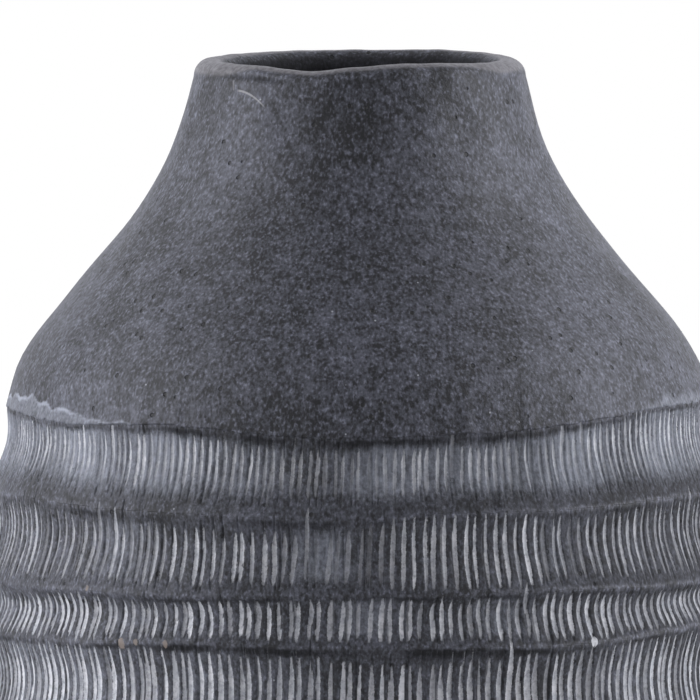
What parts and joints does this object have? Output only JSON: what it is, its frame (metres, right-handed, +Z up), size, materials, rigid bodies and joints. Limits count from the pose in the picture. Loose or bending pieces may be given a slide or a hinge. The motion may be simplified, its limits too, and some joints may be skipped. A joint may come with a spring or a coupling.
{
  "type": "stoneware pottery vase",
  "caption": "Tall coil-built stoneware vase with a narrow rolled lip, a smooth dark shoulder and a combed, ribbed belly on a foot ring.",
  "frame": {"origin": "on the pot's axis, in the plane that the foot ring stands on", "axes": "+Z up along the pot's axis from the foot to the mouth; X and Y are level, and the pot is the same all round"},
  "size_m": [0.25, 0.25, 0.33],
  "materials": {
    "dark_slip": "near-black matte slip with fine blue-grey flecks",
    "combed_slip": "dark slip combed through and inlaid with pale grey wash",
    "bare_clay": "unglazed tan stoneware",
    "liner_glaze": "dark satin liner glaze"
  },
  "bodies": {
    "root": {"foot_ring": "bare_clay", "base_slab": "bare_clay", "plain_coil": "dark_slip", "combed_coil_1": "combed_slip", "combed_coil_2": "combed_slip", "combed_coil_3": "combed_slip", "combed_coil_4": "combed_slip", "combed_coil_5": "combed_slip", "combed_coil_6": "combed_slip", "combed_coil_7": "combed_slip", "combed_coil_8": "combed_slip", "combed_coil_9": "combed_slip", "shoulder_coil_1": "dark_slip", "shoulder_coil_2": "dark_slip", "shoulder_coil_3": "dark_slip", "neck_coil": "dark_slip", "lip_coil": "dark_slip", "glaze_lining": "liner_glaze"}
  },
  "joints": []
}
